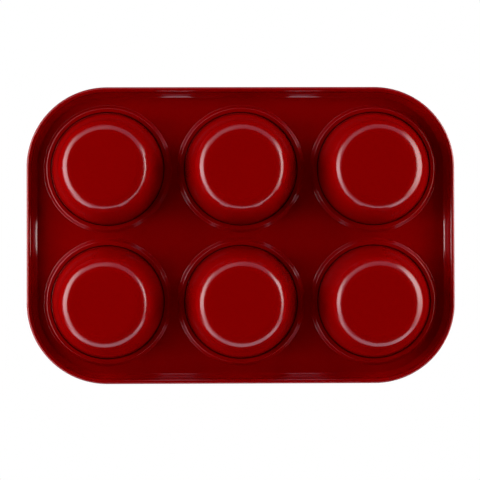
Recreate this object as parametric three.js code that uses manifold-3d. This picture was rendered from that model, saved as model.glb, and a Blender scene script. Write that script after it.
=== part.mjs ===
// A six-cup muffin pan. A pressed steel frame sheet, with its rim turned down and rolled
// around a wire, carries six drawn cups. Each cup hangs by its flange in a stepped seat,
// so that the flange lies a little below the top face of the sheet.
// Millimetres, +Z up out of the cup mouths. The cup bases stand on z = 0, and the origin
// is below the middle of the pan, which is longest along X.

import * as THREE from 'three';
import { mergeVertices } from 'three/addons/utils/BufferGeometryUtils.js';
import Module from 'manifold-3d';

// Overall height, from the cup bases to the top face of the sheet
const PAN_HEIGHT = 30;

// Sheet thickness of the frame and of a cup
const FRAME_SHEET = 0.6;
const CUP_SHEET = 0.6;

// Cups in the pan, and the flat sheet left between their seats and around them
const CUP_COLUMNS = 3;
const CUP_ROWS = 2;
const WEB_BETWEEN_CUPS = 2.92;
const END_MARGIN = 3.89;
const SIDE_MARGIN = 4.53;

// One cup: the inside radius where wall and flange would meet without a round, the flat
// disc that it stands on, the outside round at the base, the round under the flange, and
// the width of flange that lies on the seat
const CUP_MOUTH_RADIUS = 34.3;
const CUP_BASE_RADIUS = 19.3;
const CUP_BASE_ROUND = 9;
const CUP_LIP_ROUND = 0.4;
const CUP_FLANGE = 1.7;

// Seat for a cup: its depth below the sheet, play at the hole, play around the flange, and
// the width of the step
const SEAT_DEPTH = 2.3;
const HOLE_CLEARANCE = 0.45;
const FLANGE_CLEARANCE = 0.3;
const SEAT_STEP_RUN = 2.6;

// Rim, from the flat sheet outwards: a bend, a slope bowed to a wide radius, a second bend,
// a short steep skirt, and a roll around the wire that stays open on its upper inner side.
// Angles are in degrees below the horizontal.
const RIM_BEND = 0.3;
const SLOPE_START_ANGLE = 41;
const SLOPE_END_ANGLE = 66;
const SLOPE_BOW = 10;
const SKIRT_BEND = 0.6;
const SKIRT_ANGLE = 84;
const SKIRT_LENGTH = 2;
const ROLL_OPENING = 60;
const WIRE_DIAMETER = 1.4;
const WIRE_CLEARANCE = 0.2;

// Straight pieces that stand for a full circle, a plan corner and the rounds in a section
const CIRCLE_STEPS = 32;
const CORNER_STEPS = 7;
const BEND_STEPS = 2;
const BASE_ROUND_STEPS = 5;
const ROLL_STEPS = 12;
const WIRE_STEPS = 8;

// Heights of the faces that meet at a seat
const seatTop = PAN_HEIGHT - SEAT_DEPTH;
const flangeUnderside = seatTop;
const flangeTop = flangeUnderside + CUP_SHEET;
const seatUnderside = seatTop - FRAME_SHEET;
const webUnderside = PAN_HEIGHT - FRAME_SHEET;

// The cup's wall touches the round at the base and runs to the mouth, which gives its lean
const baseInnerRound = CUP_BASE_ROUND - CUP_SHEET;
const mouthOut = CUP_MOUTH_RADIUS - CUP_BASE_RADIUS;
const mouthUp = flangeTop - CUP_BASE_ROUND;
const wallLean = Math.atan2(mouthOut, mouthUp) - Math.asin(baseInnerRound / Math.hypot(mouthOut, mouthUp));

// Radii from the lip's round outwards to the flat sheet
const lipOuterRound = CUP_LIP_ROUND + CUP_SHEET;
const lipRadius = CUP_MOUTH_RADIUS + lipOuterRound * Math.tan((Math.PI / 2 - wallLean) / 2);
const holeRadius = lipRadius + HOLE_CLEARANCE;
const flangeRadius = holeRadius + CUP_FLANGE;
const stepFootRadius = flangeRadius + FLANGE_CLEARANCE;
const seatRadius = stepFootRadius + SEAT_STEP_RUN;

// Cup centres and the edge of the flat sheet, whose corners run around the corner cups
const cupPitch = 2 * seatRadius + WEB_BETWEEN_CUPS;
const lastCupX = cupPitch * (CUP_COLUMNS - 1) / 2;
const lastCupY = cupPitch * (CUP_ROWS - 1) / 2;
const webCornerRadius = seatRadius + Math.min(END_MARGIN, SIDE_MARGIN);
const cornerX = lastCupX + seatRadius + END_MARGIN - webCornerRadius;
const cornerY = lastCupY + seatRadius + SIDE_MARGIN - webCornerRadius;

// Radius of the rolled bead at the middle of the sheet
const rollRadius = WIRE_DIAMETER / 2 + WIRE_CLEARANCE + FRAME_SHEET / 2;

const wasm = await Module();
wasm.setup();

const toRadians = THREE.MathUtils.degToRad;

// Points of an arc, both ends included. Angles in radians.
function arcPoints(centreX, centreY, radius, from, to, steps) {
  const points = [];
  for (let i = 0; i <= steps; i += 1) {
    const angle = from + (to - from) * i / steps;
    points.push(new THREE.Vector2(centreX + radius * Math.cos(angle), centreY + radius * Math.sin(angle)));
  }
  return points;
}

// Stations of a closed plan path. A point of a section lies at the origin of the station
// plus its own radius along the direction.
function circleStations(centreX, centreY) {
  const stations = [];
  for (let i = 0; i < CIRCLE_STEPS; i += 1) {
    const angle = 2 * Math.PI * i / CIRCLE_STEPS;
    stations.push({
      origin: new THREE.Vector2(centreX, centreY),
      direction: new THREE.Vector2(Math.cos(angle), Math.sin(angle)),
    });
  }
  return stations;
}

function outlineStations() {
  const stations = [];
  for (let corner = 0; corner < 4; corner += 1) {
    const signX = corner === 0 || corner === 3 ? 1 : -1;
    const signY = corner < 2 ? 1 : -1;
    for (let i = 0; i <= CORNER_STEPS; i += 1) {
      const angle = Math.PI / 2 * (corner + i / CORNER_STEPS);
      stations.push({
        origin: new THREE.Vector2(signX * cornerX, signY * cornerY),
        direction: new THREE.Vector2(Math.cos(angle), Math.sin(angle)),
      });
    }
  }
  return stations;
}

function stationPoint(station, radius) {
  return station.origin.clone().addScaledVector(station.direction, radius);
}

// A closed section of points (radius, height), listed anticlockwise, carried around a
// closed plan path.
function sweptRing(section, stations) {
  const positions = [];
  const triangles = [];
  for (const station of stations) {
    for (const point of section) {
      const place = stationPoint(station, point.x);
      positions.push(place.x, place.y, point.y);
    }
  }
  const count = section.length;
  for (let s = 0; s < stations.length; s += 1) {
    const here = s * count;
    const next = ((s + 1) % stations.length) * count;
    for (let i = 0; i < count; i += 1) {
      const j = (i + 1) % count;
      triangles.push(here + i, next + i, next + j);
      triangles.push(here + i, next + j, here + j);
    }
  }
  const geometry = new THREE.BufferGeometry();
  geometry.setAttribute('position', new THREE.Float32BufferAttribute(positions, 3));
  geometry.setIndex(triangles);
  return geometry;
}

// Closed meshes to solids and back, for joining
function toSolid(geometry) {
  const bare = geometry.clone();
  bare.deleteAttribute('normal');
  bare.deleteAttribute('uv');
  const merged = mergeVertices(bare);
  return new wasm.Manifold(new wasm.Mesh({
    numProp: 3,
    vertProperties: new Float32Array(merged.attributes.position.array),
    triVerts: new Uint32Array(merged.index.array),
  }));
}

function toGeometry(solid) {
  const mesh = solid.getMesh();
  const geometry = new THREE.BufferGeometry();
  geometry.setAttribute('position', new THREE.BufferAttribute(mesh.vertProperties, 3));
  geometry.setIndex(new THREE.BufferAttribute(mesh.triVerts, 1));
  geometry.computeVertexNormals();
  return geometry;
}

function cupCentres() {
  const centres = [];
  for (let row = 0; row < CUP_ROWS; row += 1) {
    for (let column = 0; column < CUP_COLUMNS; column += 1) {
      centres.push(new THREE.Vector2(column * cupPitch - lastCupX, row * cupPitch - lastCupY));
    }
  }
  return centres;
}

// Middle line of the rim's sheet as a list of points with the way across the sheet at each,
// and the centre of the roll. It starts at the edge of the flat sheet.
function rimMiddleLine() {
  const slopeStart = toRadians(SLOPE_START_ANGLE);
  const slopeEnd = toRadians(SLOPE_END_ANGLE);
  const skirtAngle = toRadians(SKIRT_ANGLE);
  const rollAngle = toRadians(360 - ROLL_OPENING);
  const line = [];
  const end = new THREE.Vector2(webCornerRadius, PAN_HEIGHT - FRAME_SHEET / 2);

  // Adds a bend about a centre across the sheet: inwards below it, or outwards above it.
  // Where it follows another bend, their shared point is there already.
  function bend(radius, fall, turn, steps, outwards) {
    const side = outwards ? 1 : -1;
    const across = new THREE.Vector2(Math.sin(fall), Math.cos(fall));
    const centre = end.clone().addScaledVector(across, side * radius);
    const first = line.length > 0 && line.at(-1).point.equals(end) ? 1 : 0;
    for (let i = first; i <= steps; i += 1) {
      const angle = fall - side * turn * i / steps;
      const normal = new THREE.Vector2(Math.sin(angle), Math.cos(angle));
      line.push({ point: centre.clone().addScaledVector(normal, -side * radius), normal });
    }
    end.copy(line.at(-1).point);
    return centre;
  }

  function straight(length, fall) {
    end.add(new THREE.Vector2(length * Math.cos(fall), -length * Math.sin(fall)));
  }

  bend(RIM_BEND + FRAME_SHEET / 2, 0, slopeStart, BEND_STEPS, false);
  bend(SLOPE_BOW, slopeStart, slopeEnd - slopeStart, BEND_STEPS, false);
  bend(SKIRT_BEND + FRAME_SHEET / 2, slopeEnd, skirtAngle - slopeEnd, BEND_STEPS, false);
  straight(SKIRT_LENGTH, skirtAngle);
  const rollCentre = bend(rollRadius, skirtAngle, rollAngle, ROLL_STEPS, true);
  return { line, rollCentre };
}

const rim = rimMiddleLine();

function rimSection() {
  const under = rim.line.map(({ point, normal }) => point.clone().addScaledVector(normal, -FRAME_SHEET / 2));
  const over = rim.line.map(({ point, normal }) => point.clone().addScaledVector(normal, FRAME_SHEET / 2));
  return [...under, ...over.reverse()];
}

// The step down to the seat, the seat and the edge of its hole
function seatSection() {
  return [
    new THREE.Vector2(seatRadius, PAN_HEIGHT),
    new THREE.Vector2(stepFootRadius, seatTop),
    new THREE.Vector2(holeRadius, seatTop),
    new THREE.Vector2(holeRadius, seatUnderside),
    new THREE.Vector2(stepFootRadius, seatUnderside),
    new THREE.Vector2(seatRadius, webUnderside),
  ];
}

function frameSheet() {
  const outline = outlineStations();
  const plate = new THREE.Shape(outline.map((station) => stationPoint(station, webCornerRadius)));
  const seats = cupCentres().map((centre) => circleStations(centre.x, centre.y));
  for (const seat of seats) {
    plate.holes.push(new THREE.Path(seat.map((station) => stationPoint(station, seatRadius))));
  }
  const web = new THREE.ExtrudeGeometry(plate, { depth: FRAME_SHEET, bevelEnabled: false });
  web.translate(0, 0, webUnderside);
  let solid = toSolid(web).add(toSolid(sweptRing(rimSection(), outline)));
  for (const seat of seats) {
    solid = solid.add(toSolid(sweptRing(seatSection(), seat)));
  }
  return toGeometry(solid);
}

function rimWire() {
  const centre = rim.rollCentre;
  const section = arcPoints(centre.x, centre.y, WIRE_DIAMETER / 2, 0, 2 * Math.PI, WIRE_STEPS).slice(0, -1);
  return sweptRing(section, outlineStations());
}

// Half section of a cup, from the middle of its base outside, around the flange, to the
// middle of its floor inside
function cup() {
  const baseArc = (radius) => arcPoints(
    CUP_BASE_RADIUS, CUP_BASE_ROUND, radius, -Math.PI / 2, -wallLean, BASE_ROUND_STEPS);
  const lipHeight = flangeUnderside - CUP_LIP_ROUND;
  const lipArc = (radius) => arcPoints(
    lipRadius, lipHeight, radius, Math.PI - wallLean, Math.PI / 2, BEND_STEPS);
  const outside = [
    new THREE.Vector2(0, 0),
    ...baseArc(CUP_BASE_ROUND),
    ...lipArc(CUP_LIP_ROUND),
    new THREE.Vector2(flangeRadius, flangeUnderside),
  ];
  const inside = [
    new THREE.Vector2(0, CUP_SHEET),
    ...baseArc(baseInnerRound),
    ...lipArc(lipOuterRound),
    new THREE.Vector2(flangeRadius, flangeTop),
  ];
  const geometry = new THREE.LatheGeometry([...outside, ...inside.reverse()], CIRCLE_STEPS);
  geometry.rotateX(Math.PI / 2);
  return geometry;
}

const redCoat = { color: 0x8c0a0d, roughness: 0.3, metalness: 0.1 };
const bareSteel = { color: 0x9a9a98, roughness: 0.4, metalness: 1 };

function addPiece(group, name, geometry, finish) {
  const mesh = new THREE.Mesh(geometry, new THREE.MeshStandardMaterial(finish));
  mesh.name = name;
  group.add(mesh);
  return mesh;
}

const pan = new THREE.Group();
pan.name = 'muffin_pan';
addPiece(pan, 'frame_sheet', frameSheet(), redCoat);
addPiece(pan, 'rim_wire', rimWire(), bareSteel);
cupCentres().forEach((centre, index) => {
  const mesh = addPiece(pan, `cup_${index + 1}`, cup(), redCoat);
  mesh.position.set(centre.x, centre.y, 0);
});

export default pan;
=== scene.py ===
import math

import bmesh
import bpy
from mathutils import Matrix, Vector


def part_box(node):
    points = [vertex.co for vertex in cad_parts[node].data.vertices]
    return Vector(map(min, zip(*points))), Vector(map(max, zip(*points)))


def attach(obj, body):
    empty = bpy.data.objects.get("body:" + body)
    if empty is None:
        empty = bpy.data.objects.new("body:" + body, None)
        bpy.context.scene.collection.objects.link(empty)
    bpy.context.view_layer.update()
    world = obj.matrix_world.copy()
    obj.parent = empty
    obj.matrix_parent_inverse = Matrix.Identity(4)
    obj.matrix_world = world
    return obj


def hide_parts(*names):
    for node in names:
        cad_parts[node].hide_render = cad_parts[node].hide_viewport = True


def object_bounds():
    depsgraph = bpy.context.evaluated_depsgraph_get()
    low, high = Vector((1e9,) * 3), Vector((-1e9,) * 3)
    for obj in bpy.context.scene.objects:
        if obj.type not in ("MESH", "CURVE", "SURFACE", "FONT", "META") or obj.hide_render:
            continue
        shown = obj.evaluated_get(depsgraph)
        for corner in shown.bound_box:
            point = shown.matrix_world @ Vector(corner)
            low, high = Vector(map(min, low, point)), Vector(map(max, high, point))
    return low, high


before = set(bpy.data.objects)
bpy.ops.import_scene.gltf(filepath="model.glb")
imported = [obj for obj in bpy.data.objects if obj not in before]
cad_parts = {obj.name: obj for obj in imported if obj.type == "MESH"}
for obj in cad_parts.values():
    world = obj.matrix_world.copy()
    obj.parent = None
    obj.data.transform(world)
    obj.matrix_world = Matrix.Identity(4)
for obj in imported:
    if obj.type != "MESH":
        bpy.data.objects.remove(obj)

CAD_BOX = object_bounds()

# Sizes of the sheet metal, as the solids have them
MM = 0.001
SHEET = 0.6 * MM
CUP_BASE_RADIUS = 19.3 * MM
CUP_BASE_ROUND = 9.0 * MM
CUP_MOUTH_RADIUS = 34.3 * MM
CUP_LIP_ROUND = 0.4 * MM
CUP_FLANGE = 1.7 * MM
SEAT_DEPTH = 2.3 * MM
FLANGE_CLEARANCE = 0.3 * MM
SEAT_STEP_RUN = 2.6 * MM
SEAT_BEND = 0.6 * MM
SEAT_FOOT_BEND = 0.2 * MM
END_MARGIN = 3.89 * MM
SIDE_MARGIN = 4.53 * MM
RIM_BEND = 0.3 * MM
SLOPE_START = math.radians(41)
SLOPE_END = math.radians(66)
SLOPE_BOW = 10.0 * MM
SKIRT_BEND = 0.6 * MM
SKIRT_ANGLE = math.radians(84)
SKIRT_LENGTH = 2.0 * MM
ROLL_TURN = math.radians(300)
WIRE_DIAMETER = 1.4 * MM
WIRE_CLEARANCE = 0.2 * MM
CUT_EDGE_ROUND = 0.12 * MM
# Painted shade in the groove between a cup's wall and its hole: the groove's width, which places the
# shade's middle, and how far the shade reaches
GROOVE_SHADE_WIDTH = 0.45 * MM
GROOVE_SHADE_REACH = 0.27 * MM

# Places of the sheet metal, taken from the solids
CUP_NODES = sorted(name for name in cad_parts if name.startswith("cup_"))
CUP_BOXES = {name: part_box(name) for name in CUP_NODES}
CUP_CENTRES = {name: (low + high) / 2 for name, (low, high) in CUP_BOXES.items()}
FIRST_LOW, FIRST_HIGH = CUP_BOXES[CUP_NODES[0]]
TOP = CAD_BOX[1].z
FLANGE_TOP = FIRST_HIGH.z
FLANGE_RADIUS = (FIRST_HIGH.x - FIRST_LOW.x) / 2
HOLE_RADIUS = FLANGE_RADIUS - CUP_FLANGE
# Middle of the painted shade in the groove between a cup's wall and its hole
GROOVE_SHADE_MIDDLE = Vector((HOLE_RADIUS - GROOVE_SHADE_WIDTH / 2, FLANGE_TOP - SHEET - GROOVE_SHADE_WIDTH / 2))
SEAT_FOOT_RADIUS = FLANGE_RADIUS + FLANGE_CLEARANCE
SEAT_RADIUS = SEAT_FOOT_RADIUS + SEAT_STEP_RUN
CORNER_RADIUS = SEAT_RADIUS + min(END_MARGIN, SIDE_MARGIN)
LAST_CUP_X = max(centre.x for centre in CUP_CENTRES.values())
LAST_CUP_Y = max(centre.y for centre in CUP_CENTRES.values())
WEB_LENGTH = 2 * (LAST_CUP_X + SEAT_RADIUS + END_MARGIN)
WEB_WIDTH = 2 * (LAST_CUP_Y + SEAT_RADIUS + SIDE_MARGIN)
CUP_COLUMNS = 3
CUP_ROWS = 2

# Fineness of the meshes
STEPS_AROUND_CUP = 132
STEPS_AT_CORNER = 36
ROUND_STEP = math.radians(6)
FLAT_LEAD = 0.2 * MM
WIDE_LEAD = 0.7 * MM
MERGE_DISTANCE = 0.001 * MM

# Camera: under the pan, so that the picture's right is +X and its top is -Y
SENSOR = 36.0
PICTURE_SPAN = 299.3 * MM
CAMERA_PLACE = (-9.1 * MM, 10.3 * MM, -723.3 * MM)
CAMERA_AIM = (-0.58 * MM, 2.98 * MM, 26.7 * MM)
CAMERA_TURN = math.radians(0.155)
CLIP_START = 0.01
CLIP_END = 50.0

# Lamps that only show as highlights in the coating
WARM_WHITE = (1.0, 0.99, 0.93)
COOL_WHITE = (1.0, 1.0, 1.12)
LEFT_BOX = {
    "near_end": (-0.45, -0.03, -0.367),
    "far_end": (-0.45, -0.03, -0.077),
    "across": (0.0, 1.0, 0.0),
    "length": 1.06,
    "end_fade": 0.5,
    "brightness": 9.6,
    "lights": False,
}
RIGHT_BOX = {
    "near_end": (0.35, -0.085, -0.145),
    "far_end": (0.35, -0.085, 0.11),
    "across": (0.0, 1.0, 0.0),
    "length": 0.70,
    "end_fade": 0.5,
    "far_level": 0.45,
    "brightness": 10.8,
    "colour": WARM_WHITE,
    "lights": False,
}
NEAR_BOX = {
    "near_end": (0.0, 0.45, -0.133),
    "far_end": (0.0, 0.45, 0.12),
    "across": (1.0, 0.0, 0.0),
    "length": 1.5,
    "end_fade": 0.15,
    "far_level": 0.5,
    "brightness": 2.2,
    "colour": COOL_WHITE,
    "lights": False,
}
# Weak lamps around the pan that only show as highlights:
# middle in X and Y, near edge and far edge in Z, brightness
CORNER_LENGTH = 0.45
CORNER_FADE = 0.5
CORNERS = {
    "lower_left_box": (-0.42, 0.38, -0.25, 0.08, 2.8),
    "lower_right_box": (0.38, 0.36, -0.14, 0.12, 1.7),
    "upper_left_box": (-0.38, -0.42, -0.55, -0.19, 1.4),
    "upper_box": (-0.16, -0.50, -0.48, -0.19, 1.0),
}
# Lamps over the top side
OVER_LEFT_BOX = {
    "near_end": (-0.15, 0.0, 0.70),
    "far_end": (-0.55, 0.0, 0.45),
    "across": (0.0, 1.0, 0.0),
    "length": 0.60,
    "brightness": 4.2,
}
OVER_RIGHT_BOX = {
    "near_end": (0.15, 0.0, 0.70),
    "far_end": (0.55, 0.0, 0.45),
    "across": (0.0, 1.0, 0.0),
    "length": 0.60,
    "brightness": 4.2,
}
# Small equal lamps around the underside that only light the coating, in four banks. Each bank has a
# brightness and places: degrees off the pan's axis, degrees around the picture from its right
FILL_DISTANCE = 0.9
FILL_SIZE = 0.34
FILL_LEVEL = 0.02
FILL_BANKS = {
    "left": (5.8, [(52, 180), (68, 150), (68, 180), (80, 150), (80, 180), (80, 210)]),
    "right": (6.0, [(68, 0), (68, 30), (80, 330), (80, 0), (80, 30)]),
    "lower": (1.8, [(68, 240), (68, 270), (68, 300), (80, 240), (80, 270), (80, 300)]),
    "upper": (2.4, [(68, 90), (80, 60), (80, 90), (80, 120)]),
}
# A highlight lamp shows in the first surface that mirrors it, and not again in a neighbour's mirror image
ONE_MIRROR = 2.0
TWO_MIRRORS = 3.0

# Pale surroundings that show in the coating as weak highlights: a band around a slightly tilted axis
BAND_COLOUR = (1.25, 1.0, 1.4, 1.0)
BAND_AXIS = (0.2, 0.2, -1.0)
BAND_START = (-0.08, 0.02)
BAND_END = (0.48, 0.58)

# Floor
FLOOR_RADIUS = 0.35
FLOOR_FADE = (0.20, 0.34)
FLOOR_STEPS = 96
FLOOR_LEVEL = -0.1 * MM
FLOOR_COLOUR = (0.85, 0.85, 0.85, 1.0)
WHITE = (1.0, 1.0, 1.0, 1.0)
BLACK = (0.0, 0.0, 0.0, 1.0)

# Layers of finer detail in the noises
NOISE_DETAIL = 2.0
FINE_DETAIL = 3.0

# Red coating: colours, the painted shade in the groove between a cup's wall and its hole, fineness of its
# patches and grain (per metre), gloss and orange peel
COAT_DEEP = (0.22, 0.0001, 0.0002, 1.0)
COAT_LIGHT = (0.27, 0.0002, 0.0004, 1.0)
COAT_GROOVE_SHADE = (0.012, 0.0, 0.0, 1.0)
COAT_PATCHES = 24.0
COAT_GRAIN = 900.0
PATCH_SHARE = 0.6
COAT_IOR = 1.38
COAT_ROUGHNESS = 0.10
ROUGH_PATCHES = 60.0
ROUGH_PATCH_CHANGE = 0.04
ROUGH_GRAIN = 1500.0
ROUGH_GRAIN_CHANGE = 0.02
PEEL_GRAIN = 1300.0
PEEL_HEIGHT = 0.004 * MM

# Drawn steel of the wire
STEEL_DEEP = (0.46, 0.46, 0.45, 1.0)
STEEL_LIGHT = (0.62, 0.62, 0.61, 1.0)
STEEL_GRAIN = 1200.0
STEEL_ROUGHNESS = 0.25
STEEL_ROUGHNESS_CHANGE = 0.15


class Nodes:
    """Adds nodes to one tree, with their settings and the values or links of their sockets."""

    def __init__(self, tree):
        self.tree = tree
        tree.nodes.clear()

    def add(self, kind, settings=None, inputs=None):
        node = self.tree.nodes.new(kind)
        for name, value in (settings or {}).items():
            setattr(node, name, value)
        for key, value in (inputs or {}).items():
            for one in value if isinstance(value, list) else [value]:
                self.feed(node.inputs[key], one)
        return node

    def feed(self, socket, value):
        if isinstance(value, Value):
            value = value.socket
        if isinstance(value, bpy.types.NodeSocket):
            self.tree.links.new(value, socket)
        else:
            socket.default_value = value

    def value(self, kind, settings=None, inputs=None, output=0):
        return Value(self, self.add(kind, settings, inputs).outputs[output])


class Value:
    """A number that changes over a surface. Arithmetic on it adds Math nodes."""

    def __init__(self, nodes, socket):
        self.nodes = nodes
        self.socket = socket

    def math(self, operation, first, second):
        return self.nodes.value("ShaderNodeMath", {"operation": operation}, {0: first, 1: second})

    def __add__(self, other):
        return self.math("ADD", self, other)

    __radd__ = __add__

    def __sub__(self, other):
        return self.math("SUBTRACT", self, other)

    def __rsub__(self, other):
        return self.math("SUBTRACT", other, self)

    def __mul__(self, other):
        return self.math("MULTIPLY", self, other)

    __rmul__ = __mul__

    def larger(self, other):
        return self.math("MAXIMUM", self, other)

    def ramp(self, low, high, start=0.0, end=1.0):
        """Smooth change from start to end while the number goes from low to high."""
        return self.nodes.value(
            "ShaderNodeMapRange",
            {"interpolation_type": "SMOOTHSTEP"},
            {"Value": self, "From Min": low, "From Max": high, "To Min": start, "To Max": end},
        )


# Sections: lists of (distance, height)


def arc(centre, radius, start, end):
    """Points of an arc, both ends included."""
    steps = max(2, math.ceil(abs(end - start) / ROUND_STEP))
    turns = [start + (end - start) * step / steps for step in range(steps + 1)]
    return [(centre[0] + radius * math.cos(turn), centre[1] + radius * math.sin(turn)) for turn in turns]


def rounded(corners):
    """A bent line through corners of (distance, height, bend radius), with an arc at each bend."""
    points = []
    for index, (x, z, radius) in enumerate(corners):
        corner = Vector((x, z))
        if radius == 0:
            points.append((x, z))
            continue
        back = (Vector(corners[index - 1][:2]) - corner).normalized()
        on = (Vector(corners[index + 1][:2]) - corner).normalized()
        half = back.angle(on) / 2
        centre = corner + (back + on).normalized() * radius / math.sin(half)
        tangent = radius / math.tan(half)
        first = corner + back * tangent - centre
        last = corner + on * tangent - centre
        start = math.atan2(first.y, first.x)
        sweep = math.remainder(math.atan2(last.y, last.x) - start, math.tau)
        points += arc(centre, radius, start, start + sweep)
    return points


def leads(length):
    """Places along a straight stretch that keep it flat: close to both of its ends."""
    near = [FLAT_LEAD, WIDE_LEAD] if length > 3 * WIDE_LEAD else [FLAT_LEAD]
    return near + [length - part for part in reversed(near)]


def with_leads(points):
    """The same line with a point close to each end of its straight stretches, which keeps flats flat."""
    line = [points[0]]
    for start, end in zip(points, points[1:]):
        step = Vector(end) - Vector(start)
        if step.length > 3 * FLAT_LEAD:
            line += [tuple(Vector(start) + step.normalized() * part) for part in leads(step.length)]
        line.append(end)
    return line


def cup_section():
    """From the middle of the base outside, up the wall, round the flange and back down inside."""
    rise = FLANGE_TOP - CUP_BASE_ROUND
    run = CUP_MOUTH_RADIUS - CUP_BASE_RADIUS
    inner_round = CUP_BASE_ROUND - SHEET
    lean = math.atan2(run, rise) - math.asin(inner_round / math.hypot(run, rise))
    half_turn = math.tan((math.pi / 2 - lean) / 2)
    lip_top_round = CUP_LIP_ROUND + SHEET
    lip_radius = CUP_MOUTH_RADIUS + lip_top_round * half_turn
    edge = CUT_EDGE_ROUND
    return [
        (0, 0, 0),
        (CUP_BASE_RADIUS + CUP_BASE_ROUND * half_turn, 0, CUP_BASE_ROUND),
        (lip_radius - CUP_LIP_ROUND * half_turn, FLANGE_TOP - SHEET, CUP_LIP_ROUND),
        (FLANGE_RADIUS, FLANGE_TOP - SHEET, edge),
        (FLANGE_RADIUS, FLANGE_TOP, edge),
        (CUP_MOUTH_RADIUS, FLANGE_TOP, lip_top_round),
        (CUP_BASE_RADIUS + inner_round * half_turn, SHEET, inner_round),
        (0, SHEET, 0),
    ]


class SheetLine:
    """Middle of a bent sheet, walked outwards as points of (distance, height, fall angle)."""

    def __init__(self, distance, height):
        self.points = [(distance, height, 0.0)]

    def straight(self, length):
        x, z, fall = self.points[-1]
        for part in [*leads(length), length]:
            self.points.append((x + part * math.cos(fall), z - part * math.sin(fall), fall))

    def turn(self, radius, end):
        x, z, start = self.points.pop()
        reach = radius if end > start else -radius
        centre = (x - reach * math.sin(start), z - reach * math.cos(start))
        steps = max(2, math.ceil(abs(end - start) / ROUND_STEP))
        for step in range(steps + 1):
            fall = start + (end - start) * step / steps
            x = centre[0] + reach * math.sin(fall)
            z = centre[1] + reach * math.cos(fall)
            self.points.append((x, z, fall))
        return centre

    def face(self, side):
        """The upper face of the sheet for 1 and the lower face for -1."""
        half = side * SHEET / 2
        return [(x + half * math.sin(fall), z + half * math.cos(fall)) for x, z, fall in self.points]


def seat_section():
    """From the flat web down the step to the seat, round the hole's cut edge and back underneath."""
    edge = CUT_EDGE_ROUND
    middle = TOP - SEAT_DEPTH - SHEET / 2
    foot_bend = SEAT_FOOT_BEND + SHEET / 2
    web_bend = SEAT_BEND + SHEET / 2
    bends = foot_bend + web_bend
    slant = math.sqrt(SEAT_STEP_RUN**2 + SEAT_DEPTH**2 - 2 * bends * SEAT_DEPTH)
    rise = math.atan2(SEAT_DEPTH - bends, SEAT_STEP_RUN) + math.atan2(bends, slant)
    line = SheetLine(HOLE_RADIUS + edge, middle)
    line.straight(SEAT_FOOT_RADIUS - HOLE_RADIUS - edge)
    line.turn(foot_bend, -rise)
    line.straight(slant)
    line.turn(web_bend, 0.0)
    line.straight(2 * FLAT_LEAD)
    half = SHEET / 2 - edge
    upper_edge = arc((HOLE_RADIUS + edge, middle + half), edge, math.pi / 2, math.pi)
    lower_edge = arc((HOLE_RADIUS + edge, middle - half), edge, math.pi, 1.5 * math.pi)
    return [*reversed(line.face(1)), *upper_edge[1:], *lower_edge[:-1], *line.face(-1)]


def rim_line():
    """Middle of the rim's sheet from the flat web to the end of the roll, and the middle of the roll."""
    line = SheetLine(0.0, TOP - SHEET / 2)
    line.turn(RIM_BEND + SHEET / 2, SLOPE_START)
    line.turn(SLOPE_BOW, SLOPE_END)
    line.turn(SKIRT_BEND + SHEET / 2, SKIRT_ANGLE)
    line.straight(SKIRT_LENGTH)
    centre = line.turn(roll_radius(), SKIRT_ANGLE - ROLL_TURN)
    return line, centre


def roll_radius():
    return WIRE_DIAMETER / 2 + WIRE_CLEARANCE + SHEET / 2


def roll_centre():
    """Middle of the rolled rim, which is the middle of the wire too."""
    return rim_line()[1]


def rim_section():
    """From the flat web over the bend, slope, skirt and roll, round the cut edge and back underneath."""
    line = rim_line()[0]
    x, z, fall = line.points[-1]
    outward = math.pi / 2 - fall
    cut_edge = arc((x, z), SHEET / 2, outward, outward - math.pi)
    lead = 2 * FLAT_LEAD
    under = list(reversed(line.face(-1)))
    return [(-lead, TOP), *line.face(1), *cut_edge[1:-1], *under, (-lead, TOP - SHEET)]


def wire_section():
    ring = arc(roll_centre(), WIRE_DIAMETER / 2, 0, math.tau)
    return ring[:-1]


# Node trees that turn the sections into sheet metal


def shape_tree(name, sizes):
    """A new tree with a section, named sizes and a finish as its inputs."""
    tree = bpy.data.node_groups.new(name, "GeometryNodeTree")
    tree.interface.new_socket("Section", in_out="INPUT", socket_type="NodeSocketGeometry")
    for size, kind in sizes.items():
        tree.interface.new_socket(size, in_out="INPUT", socket_type=kind)
    tree.interface.new_socket("Finish", in_out="INPUT", socket_type="NodeSocketMaterial")
    tree.interface.new_socket("Piece", in_out="OUTPUT", socket_type="NodeSocketGeometry")
    nodes = Nodes(tree)
    return tree, nodes, nodes.add("NodeGroupInput").outputs


def finish_shape(nodes, shape, finish):
    """Closes the seams of a shape, shades it smooth and gives it its finish."""
    closed = nodes.add("GeometryNodeMergeByDistance", {}, {"Geometry": shape, "Distance": MERGE_DISTANCE})
    smooth = nodes.add("GeometryNodeSetShadeSmooth", {}, {"Geometry": closed.outputs[0]})
    real = nodes.add("GeometryNodeRealizeInstances", {}, {"Geometry": smooth.outputs[0]})
    coated = nodes.add("GeometryNodeSetMaterial", {}, {"Geometry": real.outputs[0], "Material": finish})
    nodes.add("NodeGroupOutput", {}, {"Piece": coated.outputs[0]})


def web_outline(nodes, sizes):
    """The rounded rectangle that the rim follows."""
    rectangle = nodes.add(
        "GeometryNodeCurvePrimitiveQuadrilateral",
        {"mode": "RECTANGLE"},
        {"Width": sizes["Web Length"], "Height": sizes["Web Width"]},
    )
    corners = nodes.add(
        "GeometryNodeFilletCurve",
        {"mode": "POLY"},
        {"Curve": rectangle.outputs[0], "Radius": sizes["Corner Radius"], "Count": sizes["Corner Steps"]},
    )
    return corners.outputs[0]


WEB_SIZES = {
    "Web Length": "NodeSocketFloat",
    "Web Width": "NodeSocketFloat",
    "Corner Radius": "NodeSocketFloat",
    "Corner Steps": "NodeSocketInt",
}


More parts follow.
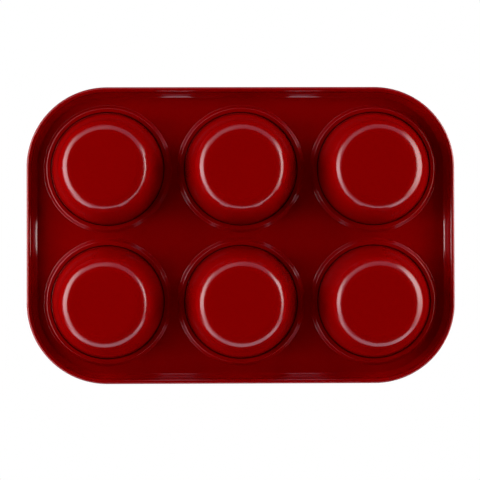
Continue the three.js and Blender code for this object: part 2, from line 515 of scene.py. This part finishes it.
def cup_tree():
    """Turns a cup's section about its axis and moves it to its place."""
    sizes = {
        "Turning Radius": "NodeSocketFloat",
        "Steps Around": "NodeSocketInt",
        "Place": "NodeSocketVector",
    }
    tree, nodes, given = shape_tree("drawn cup", sizes)
    section = nodes.add("GeometryNodeMeshToCurve", {}, {"Mesh": given["Section"]})
    circle = nodes.add(
        "GeometryNodeCurvePrimitiveCircle",
        {"mode": "RADIUS"},
        {"Radius": given["Turning Radius"], "Resolution": given["Steps Around"]},
    )
    turned = nodes.add(
        "GeometryNodeCurveToMesh",
        {},
        {"Curve": circle.outputs[0], "Profile Curve": section.outputs[0]},
    )
    placed = nodes.add(
        "GeometryNodeSetPosition",
        {},
        {"Geometry": turned.outputs[0], "Offset": given["Place"]},
    )
    finish_shape(nodes, placed.outputs[0], given["Finish"])
    return tree


def frame_tree():
    """Fills the web around its seats and sweeps the rim and seat sections round their paths."""
    sizes = {
        **WEB_SIZES,
        "Seat Path Radius": "NodeSocketFloat",
        "Seat Steps": "NodeSocketInt",
        "Columns Span": "NodeSocketFloat",
        "Rows Span": "NodeSocketFloat",
        "Columns": "NodeSocketInt",
        "Rows": "NodeSocketInt",
        "Top": "NodeSocketFloat",
        "Underside": "NodeSocketFloat",
    }
    tree, nodes, given = shape_tree("pressed frame sheet", sizes)
    outline = web_outline(nodes, given)
    grid = nodes.add(
        "GeometryNodeMeshGrid",
        {},
        {
            "Size X": given["Columns Span"],
            "Size Y": given["Rows Span"],
            "Vertices X": given["Columns"],
            "Vertices Y": given["Rows"],
        },
    )
    circle = nodes.add(
        "GeometryNodeCurvePrimitiveCircle",
        {"mode": "RADIUS"},
        {"Radius": given["Seat Path Radius"], "Resolution": given["Seat Steps"]},
    )
    seats = nodes.add(
        "GeometryNodeInstanceOnPoints",
        {},
        {"Points": grid.outputs[0], "Instance": circle.outputs[0]},
    )
    seat_paths = nodes.add("GeometryNodeRealizeInstances", {}, {"Geometry": seats.outputs[0]})
    edges = nodes.add(
        "GeometryNodeJoinGeometry", {}, {"Geometry": [outline, seat_paths.outputs[0]]}
    )
    web = nodes.add("GeometryNodeFillCurve", {"mode": "TRIANGLES"}, {"Curve": edges.outputs[0]})
    faces = []
    for level in ("Top", "Underside"):
        height = nodes.add("ShaderNodeCombineXYZ", {}, {"Z": given[level]})
        lifted = nodes.add(
            "GeometryNodeSetPosition",
            {},
            {"Geometry": web.outputs[0], "Offset": height.outputs[0]},
        )
        faces.append(lifted.outputs[0])
    is_seat = nodes.add(
        "GeometryNodeInputNamedAttribute", {"data_type": "BOOLEAN"}, {"Name": "is_seat"}
    )
    sections = nodes.add(
        "GeometryNodeSeparateGeometry",
        {"domain": "POINT"},
        {"Geometry": given["Section"], "Selection": is_seat.outputs[0]},
    )
    swept = []
    for path, part in ((seat_paths.outputs[0], 0), (outline, 1)):
        line = nodes.add("GeometryNodeMeshToCurve", {}, {"Mesh": sections.outputs[part]})
        sweep = nodes.add(
            "GeometryNodeCurveToMesh", {}, {"Curve": path, "Profile Curve": line.outputs[0]}
        )
        swept.append(sweep.outputs[0])
    whole = nodes.add("GeometryNodeJoinGeometry", {}, {"Geometry": faces + swept})
    finish_shape(nodes, whole.outputs[0], given["Finish"])
    return tree


def wire_tree():
    """Sweeps the wire's round section along the rim."""
    tree, nodes, given = shape_tree("rim wire loop", WEB_SIZES)
    outline = web_outline(nodes, given)
    section = nodes.add("GeometryNodeMeshToCurve", {}, {"Mesh": given["Section"]})
    swept = nodes.add(
        "GeometryNodeCurveToMesh", {}, {"Curve": outline, "Profile Curve": section.outputs[0]}
    )
    finish_shape(nodes, swept.outputs[0], given["Finish"])
    return tree


# Pieces


def groove_shade_amount(point):
    """Painted shade for the coat: 1 in the narrow groove between a cup's wall and the hole that it hangs
    in, 0 away from it.
    """
    distance = (Vector(point) - GROOVE_SHADE_MIDDLE).length
    return max(0.0, min(1.0, 2.0 - distance / GROOVE_SHADE_REACH))


def section_mesh(name, lines):
    """Lines of (points, start, closed, is_seat) as the edges of one mesh.

    Distances are measured from the start and run along X, and heights along -Y.
    """
    vertices = []
    edges = []
    seat_flags = []
    groove_shade_amounts = []
    for points, start, closed, is_seat in lines:
        first = len(vertices)
        vertices += [(distance - start, -height, 0) for distance, height in points]
        groove_shade_amounts += [groove_shade_amount(point) for point in points]
        edges += [(first + step, first + step + 1) for step in range(len(points) - 1)]
        if closed:
            edges.append((first + len(points) - 1, first))
        seat_flags += [is_seat] * len(points)
    mesh = bpy.data.meshes.new(name)
    mesh.from_pydata(vertices, edges, [])
    flags = mesh.attributes.new("is_seat", "BOOLEAN", "POINT")
    flags.data.foreach_set("value", seat_flags)
    # Painted shade: how much near-black shade the coat gets at each point, in the groove between a cup's
    # wall and its hole
    groove_shade_layer = mesh.attributes.new("groove", "FLOAT", "POINT")
    groove_shade_layer.data.foreach_set("value", groove_shade_amounts)
    return mesh


def turn_outwards(mesh):
    """Makes every face of a closed sheet point out of the metal."""
    work = bmesh.new()
    work.from_mesh(mesh)
    bmesh.ops.recalc_face_normals(work, faces=work.faces[:])
    work.to_mesh(mesh)
    work.free()


def make_piece(name, tree, lines, sizes, node):
    """Runs a tree on its sections, keeps the result as a plain mesh and sets it in place of a solid."""
    section = section_mesh(name + "_section", lines)
    holder = bpy.data.objects.new(name + "_holder", section)
    bpy.context.scene.collection.objects.link(holder)
    modifier = holder.modifiers.new("shape", "NODES")
    modifier.node_group = tree
    for item in tree.interface.items_tree:
        if item.in_out == "INPUT" and item.name in sizes:
            modifier[item.identifier] = sizes[item.name]
    depsgraph = bpy.context.evaluated_depsgraph_get()
    mesh = bpy.data.meshes.new_from_object(
        holder.evaluated_get(depsgraph), preserve_all_data_layers=True, depsgraph=depsgraph
    )
    holder.modifiers.remove(modifier)
    bpy.data.objects.remove(holder)
    bpy.data.meshes.remove(section)
    turn_outwards(mesh)
    mesh.materials.clear()
    mesh.materials.append(sizes["Finish"])
    mesh.polygons.foreach_set("material_index", [0] * len(mesh.polygons))
    mesh.name = name
    piece = bpy.data.objects.new(name, mesh)
    bpy.context.scene.collection.objects.link(piece)
    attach(piece, "root")
    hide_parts(node)
    return piece


def make_cups(finish):
    tree = cup_tree()
    lines = [(with_leads(rounded(cup_section())), FLANGE_RADIUS, False, False)]
    for name in CUP_NODES:
        centre = CUP_CENTRES[name]
        sizes = {
            "Turning Radius": FLANGE_RADIUS,
            "Steps Around": STEPS_AROUND_CUP,
            "Place": (centre.x, centre.y, 0.0),
            "Finish": finish,
        }
        make_piece(name + "_coated", tree, lines, sizes, name)


def make_frame_sheet(finish):
    inset = 2 * FLAT_LEAD
    seat_path = SEAT_RADIUS + inset
    sizes = {
        "Web Length": WEB_LENGTH - 2 * inset,
        "Web Width": WEB_WIDTH - 2 * inset,
        "Corner Radius": CORNER_RADIUS - inset,
        "Corner Steps": STEPS_AT_CORNER,
        "Seat Path Radius": seat_path,
        "Seat Steps": STEPS_AROUND_CUP,
        "Columns Span": 2 * LAST_CUP_X,
        "Rows Span": 2 * LAST_CUP_Y,
        "Columns": CUP_COLUMNS,
        "Rows": CUP_ROWS,
        "Top": TOP,
        "Underside": TOP - SHEET,
        "Finish": finish,
    }
    lines = [(rim_section(), -inset, False, False), (seat_section(), seat_path, False, True)]
    make_piece("frame_sheet_coated", frame_tree(), lines, sizes, "frame_sheet")


def make_rim_wire(finish):
    sizes = {
        "Web Length": WEB_LENGTH,
        "Web Width": WEB_WIDTH,
        "Corner Radius": CORNER_RADIUS,
        "Corner Steps": STEPS_AT_CORNER,
        "Finish": finish,
    }
    lines = [(wire_section(), 0.0, True, False)]
    make_piece("rim_wire_drawn", wire_tree(), lines, sizes, "rim_wire")


# Finishes


def new_finish(name):
    material = bpy.data.materials.new(name)
    material.use_nodes = True
    return material, Nodes(material.node_tree)


def red_coat_finish():
    """Semi-gloss red bakeware coating with a faint orange peel, and painted shade in the groove between a
    cup's wall and its hole.
    """
    material, nodes = new_finish("red_coat_finish")
    place = nodes.add("ShaderNodeTexCoord").outputs["Object"]

    def noise(scale, detail=NOISE_DETAIL):
        return nodes.value(
            "ShaderNodeTexNoise", {}, {"Vector": place, "Scale": scale, "Detail": detail}
        )

    tone = noise(COAT_PATCHES) * PATCH_SHARE + noise(COAT_GRAIN) * (1.0 - PATCH_SHARE)
    colour = nodes.add(
        "ShaderNodeMix",
        {"data_type": "RGBA"},
        {"Factor": tone, "A": COAT_DEEP, "B": COAT_LIGHT},
    )
    # Painted shade: the coat turns near-black in the groove between a cup's wall and its hole
    groove = nodes.value("ShaderNodeAttribute", {"attribute_name": "groove"}, {}, "Fac")
    shaded = nodes.add(
        "ShaderNodeMix",
        {"data_type": "RGBA"},
        {"Factor": groove, "A": colour.outputs["Result"], "B": COAT_GROOVE_SHADE},
    )
    patches = noise(ROUGH_PATCHES, FINE_DETAIL) * ROUGH_PATCH_CHANGE
    grain = noise(ROUGH_GRAIN) * ROUGH_GRAIN_CHANGE
    peel = nodes.add(
        "ShaderNodeBump",
        {},
        {"Strength": 1.0, "Distance": PEEL_HEIGHT, "Height": noise(PEEL_GRAIN)},
    )
    coat = nodes.add(
        "ShaderNodeBsdfPrincipled",
        {},
        {
            "Base Color": shaded.outputs["Result"],
            "Roughness": patches + grain + COAT_ROUGHNESS,
            "IOR": COAT_IOR,
            "Normal": peel.outputs[0],
        },
    )
    nodes.add("ShaderNodeOutputMaterial", {}, {"Surface": coat.outputs[0]})
    return material


def wire_finish():
    """Plain drawn steel with a fine grain."""
    material, nodes = new_finish("rim_wire_finish")
    place = nodes.add("ShaderNodeTexCoord").outputs["Object"]
    grain = nodes.value(
        "ShaderNodeTexNoise", {}, {"Vector": place, "Scale": STEEL_GRAIN, "Detail": FINE_DETAIL}
    )
    colour = nodes.add(
        "ShaderNodeMix",
        {"data_type": "RGBA"},
        {"Factor": grain, "A": STEEL_DEEP, "B": STEEL_LIGHT},
    )
    steel = nodes.add(
        "ShaderNodeBsdfPrincipled",
        {},
        {
            "Base Color": colour.outputs["Result"],
            "Metallic": 1.0,
            "Roughness": grain * STEEL_ROUGHNESS_CHANGE + STEEL_ROUGHNESS,
        },
    )
    nodes.add("ShaderNodeOutputMaterial", {}, {"Surface": steel.outputs[0]})
    return material


# Studio


def facing(place, target, up):
    """Turns a camera or a lamp at a place so that it looks at the target."""
    back = (place - target).normalized()
    right = up.cross(back).normalized()
    turn = Matrix((right, back.cross(right), back)).transposed().to_4x4()
    return Matrix.Translation(place) @ turn


def make_camera():
    aim = Vector(CAMERA_AIM)
    place = Vector(CAMERA_PLACE)
    up = Vector((math.sin(CAMERA_TURN), -math.cos(CAMERA_TURN), 0))
    data = bpy.data.cameras.new("camera")
    data.sensor_width = SENSOR
    data.lens = SENSOR * (aim.z - place.z) / PICTURE_SPAN
    data.clip_start = CLIP_START
    data.clip_end = CLIP_END
    camera = bpy.data.objects.new("camera", data)
    camera.matrix_world = facing(place, aim, up)
    bpy.context.scene.collection.objects.link(camera)
    bpy.context.scene.camera = camera


def soft_box(
    name,
    near_end,
    far_end,
    across,
    length,
    brightness,
    end_fade=0.1,
    far_level=1.0,
    lights=True,
    mirrored=True,
    colour=(1.0, 1.0, 1.0),
):
    """A rectangular lamp that faces the pan, from the middle of its near edge to that of its far edge.

    A brightness of 1 is that of white paper in full light. The lamp fades towards both of its ends over
    a part of its length, and to a level at its far edge.
    """
    near_end = Vector(near_end)
    far_end = Vector(far_end)
    middle = (near_end + far_end) / 2
    depth = far_end - near_end
    back = Vector(across).cross(depth).normalized()
    if back.dot(middle) < 0:
        back = -back
    data = bpy.data.lights.new(name, "AREA")
    data.shape = "RECTANGLE"
    data.size = length
    data.size_y = depth.length
    data.color = colour
    data.energy = brightness * math.pi * length * depth.length
    data.use_nodes = True
    nodes = Nodes(data.node_tree)
    spot = nodes.add("ShaderNodeNewGeometry").outputs["Parametric"]
    along = nodes.value("ShaderNodeSeparateXYZ", {}, {0: spot}, "X")
    outwards = nodes.value("ShaderNodeSeparateXYZ", {}, {0: spot}, "Y")
    ends = along.ramp(0.0, end_fade) * along.ramp(1.0 - end_fade, 1.0, 1.0, 0.0)
    level = ends * outwards.ramp(0.0, 1.0, 1.0, far_level)
    if not lights:
        mirrors = Value(nodes, nodes.add("ShaderNodeLightPath").outputs["Ray Depth"])
        level = level * mirrors.ramp(ONE_MIRROR, TWO_MIRRORS, 1.0, 0.0)
    faded = nodes.add(
        "ShaderNodeMix",
        {"data_type": "RGBA"},
        {"Factor": level, "A": BLACK, "B": WHITE},
    )
    glow = nodes.add("ShaderNodeEmission", {}, {"Color": faded.outputs["Result"]})
    nodes.add("ShaderNodeOutputLight", {}, {"Surface": glow.outputs[0]})
    lamp = bpy.data.objects.new(name, data)
    upwards = depth.normalized()
    turn = Matrix((upwards.cross(back), upwards, back)).transposed().to_4x4()
    lamp.matrix_world = Matrix.Translation(middle) @ turn
    lamp.visible_camera = False
    lamp.visible_diffuse = lights
    lamp.visible_glossy = mirrored
    bpy.context.scene.collection.objects.link(lamp)


def fill_lamp(bank, tilt, turn, brightness):
    """A small square lamp at an angle off the pan's axis and an angle around the picture."""
    off = math.radians(tilt)
    around = math.radians(turn)
    out = Vector((math.cos(around), -math.sin(around), 0.0))
    down = Vector((0.0, 0.0, -1.0))
    middle = FILL_DISTANCE * (math.sin(off) * out + math.cos(off) * down) - FILL_LEVEL * down
    half = FILL_SIZE / 2 * (math.cos(off) * out - math.sin(off) * down)
    soft_box(
        f"{bank}_fill_{tilt}_{turn}",
        middle - half,
        middle + half,
        out.cross(down),
        FILL_SIZE,
        brightness,
        mirrored=False,
    )


def make_lights():
    soft_box("left_box", **LEFT_BOX)
    soft_box("right_box", **RIGHT_BOX)
    soft_box("near_box", **NEAR_BOX)
    soft_box("over_left_box", **OVER_LEFT_BOX)
    soft_box("over_right_box", **OVER_RIGHT_BOX)
    for name, (x, y, near, far, brightness) in CORNERS.items():
        ends = (x, y, near), (x, y, far)
        soft_box(name, *ends, (-y, x, 0.0), CORNER_LENGTH, brightness, CORNER_FADE, lights=False)
    for bank, (brightness, places) in FILL_BANKS.items():
        for tilt, turn in places:
            fill_lamp(bank, tilt, turn, brightness)


def make_world():
    world = bpy.data.worlds.new("studio")
    world.use_nodes = True
    nodes = Nodes(world.node_tree)
    path = nodes.add("ShaderNodeLightPath")
    direction = nodes.add("ShaderNodeTexCoord").outputs["Generated"]
    level = nodes.value(
        "ShaderNodeVectorMath",
        {"operation": "DOT_PRODUCT"},
        {0: direction, 1: Vector(BAND_AXIS).normalized()},
        "Value",
    )
    camera = Value(nodes, path.outputs["Is Camera Ray"])
    clear = Value(nodes, path.outputs["Is Transmission Ray"])
    mirrored = Value(nodes, path.outputs["Is Glossy Ray"])
    band = level.ramp(*BAND_START) * level.ramp(*BAND_END, 1.0, 0.0) * mirrored
    surroundings = nodes.add(
        "ShaderNodeMix",
        {"data_type": "RGBA"},
        {"Factor": band, "A": BLACK, "B": BAND_COLOUR},
    )
    colour = nodes.add(
        "ShaderNodeMix",
        {"data_type": "RGBA"},
        {"Factor": camera.larger(clear), "A": surroundings.outputs["Result"], "B": WHITE},
    )
    sky = nodes.add("ShaderNodeBackground", {}, {"Color": colour.outputs["Result"]})
    nodes.add("ShaderNodeOutputWorld", {}, {"Surface": sky.outputs[0]})
    bpy.context.scene.world = world


def make_floor():
    """A pale round floor under the cups that fades into the white background and shows from above only."""
    turns = [math.tau * step / FLOOR_STEPS for step in range(FLOOR_STEPS)]
    edge = [(FLOOR_RADIUS * math.cos(a), FLOOR_RADIUS * math.sin(a), FLOOR_LEVEL) for a in turns]
    mesh = bpy.data.meshes.new("floor")
    mesh.from_pydata(edge, [], [list(range(FLOOR_STEPS))])
    floor = bpy.data.objects.new("floor", mesh)
    bpy.context.scene.collection.objects.link(floor)
    material, nodes = new_finish("pale_floor")
    place = nodes.add("ShaderNodeTexCoord").outputs["Object"]
    distance = nodes.value("ShaderNodeVectorMath", {"operation": "LENGTH"}, {0: place}, "Value")
    below = nodes.value("ShaderNodeNewGeometry", output="Backfacing")
    away = distance.ramp(*FLOOR_FADE).larger(below)
    paper = nodes.add("ShaderNodeBsdfDiffuse", {}, {"Color": FLOOR_COLOUR})
    nothing = nodes.add("ShaderNodeBsdfTransparent")
    mixed = nodes.add(
        "ShaderNodeMixShader",
        {},
        {0: away, 1: paper.outputs[0], 2: nothing.outputs[0]},
    )
    nodes.add("ShaderNodeOutputMaterial", {}, {"Surface": mixed.outputs[0]})
    mesh.materials.append(material)
    floor.visible_diffuse = False
    floor.visible_glossy = False
    floor.visible_transmission = False
    floor.visible_shadow = False


red_coat = red_coat_finish()
make_cups(red_coat)
make_frame_sheet(red_coat)
make_rim_wire(wire_finish())
make_camera()
make_lights()
make_world()
make_floor()
bpy.context.scene.view_settings.view_transform = "Standard"
